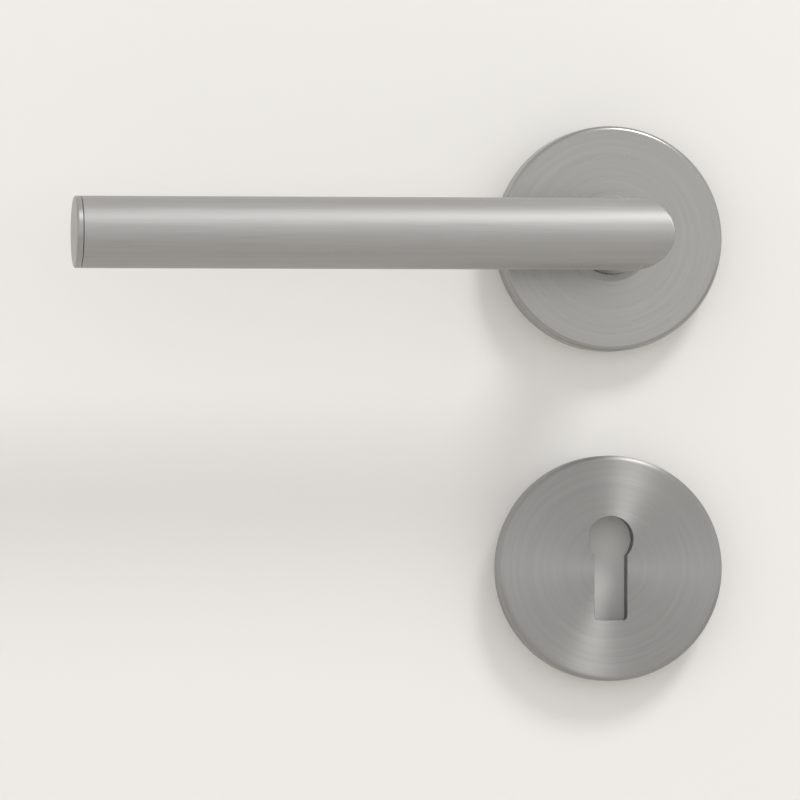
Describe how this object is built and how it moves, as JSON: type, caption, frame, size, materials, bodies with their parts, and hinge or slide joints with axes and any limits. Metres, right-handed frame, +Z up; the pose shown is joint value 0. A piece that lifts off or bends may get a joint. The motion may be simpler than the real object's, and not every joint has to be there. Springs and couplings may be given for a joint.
{
  "type": "door lever handle",
  "caption": "Straight tubular lever handles on round sprung roses with matching round key escutcheons, joined through the door by a square spindle and bolts.",
  "frame": {"origin": "on the spindle's axis, at the middle of the door's thickness", "axes": "+Z up, +X to the right seen from the front face, -Y out of the door's front face; the levers point along -X"},
  "size_m": [0.16, 0.152, 0.133],
  "materials": {
    "satin_stainless": "satin brushed stainless steel",
    "turned_steel": "plain turned and drawn steel",
    "spring_steel": "dark oiled spring steel",
    "plated_steel": "bright zinc plating",
    "zinc_casting": "matt die-cast zinc",
    "natural_nylon": "off-white moulded nylon",
    "grey_nylon": "grey moulded glass-filled nylon"
  },
  "bodies": {
    "door_set": {"front_rose_cover": "satin_stainless", "front_guide_ring": "grey_nylon", "front_rose_carrier": "zinc_casting", "front_neck_bush": "natural_nylon", "front_return_spring": "spring_steel", "front_thrust_washer": "plated_steel", "front_key_cover": "satin_stainless", "front_key_carrier": "grey_nylon", "back_rose_cover": "satin_stainless", "back_guide_ring": "grey_nylon", "back_rose_carrier": "zinc_casting", "back_neck_bush": "natural_nylon", "back_return_spring": "spring_steel", "back_thrust_washer": "plated_steel", "back_key_cover": "satin_stainless", "back_key_carrier": "grey_nylon", "lever_bolt_upper": "plated_steel", "lever_bolt_lower": "plated_steel", "lever_sleeve_upper": "plated_steel", "lever_sleeve_lower": "plated_steel", "key_bolt_upper": "plated_steel", "key_bolt_lower": "plated_steel", "key_sleeve_upper": "plated_steel", "key_sleeve_lower": "plated_steel"},
    "levers": {"spindle": "turned_steel", "front_lever_tube": "satin_stainless", "front_tip_cap": "satin_stainless", "front_neck_socket": "turned_steel", "front_grub_screw": "spring_steel", "front_driver_plate": "plated_steel", "front_retaining_ring": "spring_steel", "back_lever_tube": "satin_stainless", "back_tip_cap": "satin_stainless", "back_neck_socket": "turned_steel", "back_grub_screw": "spring_steel", "back_driver_plate": "plated_steel", "back_retaining_ring": "spring_steel"}
  },
  "joints": [
    {"name": "lever_turn", "type": "hinge", "parent": "door_set", "child": "levers", "pos_m": [0, 0, 0], "axis": [0, -1, 0], "range_deg": [0, 40], "stiffness_Nm_per_rad": 1.2, "springref_deg": -34.38, "deforming": ["front_return_spring", "back_return_spring"]}
  ]
}
